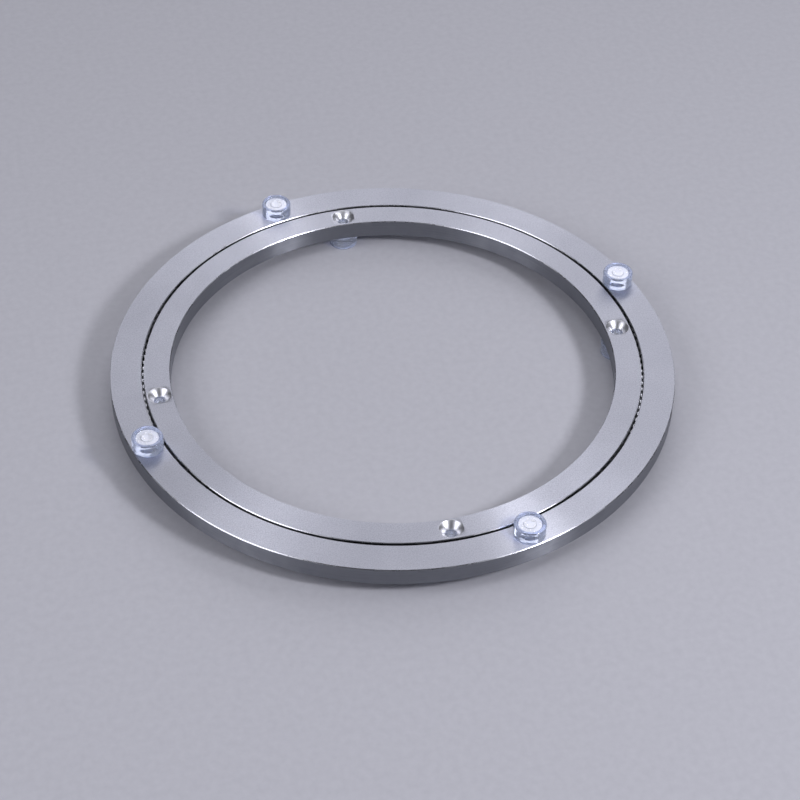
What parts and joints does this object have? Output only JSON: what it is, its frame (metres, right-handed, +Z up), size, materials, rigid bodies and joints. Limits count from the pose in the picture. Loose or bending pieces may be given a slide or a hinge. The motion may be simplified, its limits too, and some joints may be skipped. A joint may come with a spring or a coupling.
{
  "type": "lazy susan turntable bearing",
  "caption": "Flat aluminium turntable bearing: two concentric rings running on a row of balls, with clear push-in feet below and grip pads on top.",
  "frame": {"origin": "on the axis of rotation, at the level of the feet's undersides", "axes": "+Z up along the axis of rotation; +X through the inner ring's first screw hole and foot"},
  "size_m": [0.25, 0.25, 0.0211],
  "materials": {
    "aluminium": "satin, fine bead-blasted and clear anodised, bright on the chamfers and countersinks",
    "ball_steel": "polished bearing steel",
    "screw_steel": "plain zinc-plated steel",
    "clear_vinyl": "soft clear vinyl with a faint blue tint, glossy"
  },
  "bodies": {
    "base": {"inner_ring": "aluminium", "foot_1": "clear_vinyl", "foot_2": "clear_vinyl", "foot_3": "clear_vinyl", "foot_4": "clear_vinyl"},
    "turntable": {"outer_ring": "aluminium", "ball_loading_screw": "screw_steel", "grip_pad_1": "clear_vinyl", "grip_pad_2": "clear_vinyl", "grip_pad_3": "clear_vinyl", "grip_pad_4": "clear_vinyl"},
    "ball_train": {"ball_01": "ball_steel", "ball_02": "ball_steel", "ball_03": "ball_steel", "ball_04": "ball_steel", "ball_05": "ball_steel", "ball_06": "ball_steel", "ball_07": "ball_steel", "ball_08": "ball_steel", "ball_09": "ball_steel", "ball_10": "ball_steel", "ball_11": "ball_steel", "ball_12": "ball_steel", "ball_13": "ball_steel", "ball_14": "ball_steel", "ball_15": "ball_steel", "ball_16": "ball_steel", "ball_17": "ball_steel", "ball_18": "ball_steel", "ball_19": "ball_steel", "ball_20": "ball_steel", "ball_21": "ball_steel", "ball_22": "ball_steel", "ball_23": "ball_steel", "ball_24": "ball_steel", "ball_25": "ball_steel", "ball_26": "ball_steel", "ball_27": "ball_steel", "ball_28": "ball_steel", "ball_29": "ball_steel", "ball_30": "ball_steel", "ball_31": "ball_steel", "ball_32": "ball_steel", "ball_33": "ball_steel", "ball_34": "ball_steel", "ball_35": "ball_steel"}
  },
  "joints": [
    {"name": "turntable_spin", "type": "hinge", "parent": "base", "child": "turntable", "pos_m": [0, 0, 0.01055], "axis": [0, 0, 1], "continuous": true},
    {"name": "ball_train_orbit", "type": "hinge", "parent": "base", "child": "ball_train", "pos_m": [0, 0, 0.01055], "axis": [0, 0, 1], "continuous": true}
  ],
  "couplings": [
    {"joint": "ball_train_orbit", "follows": "turntable_spin", "ratio": 0.509}
  ]
}
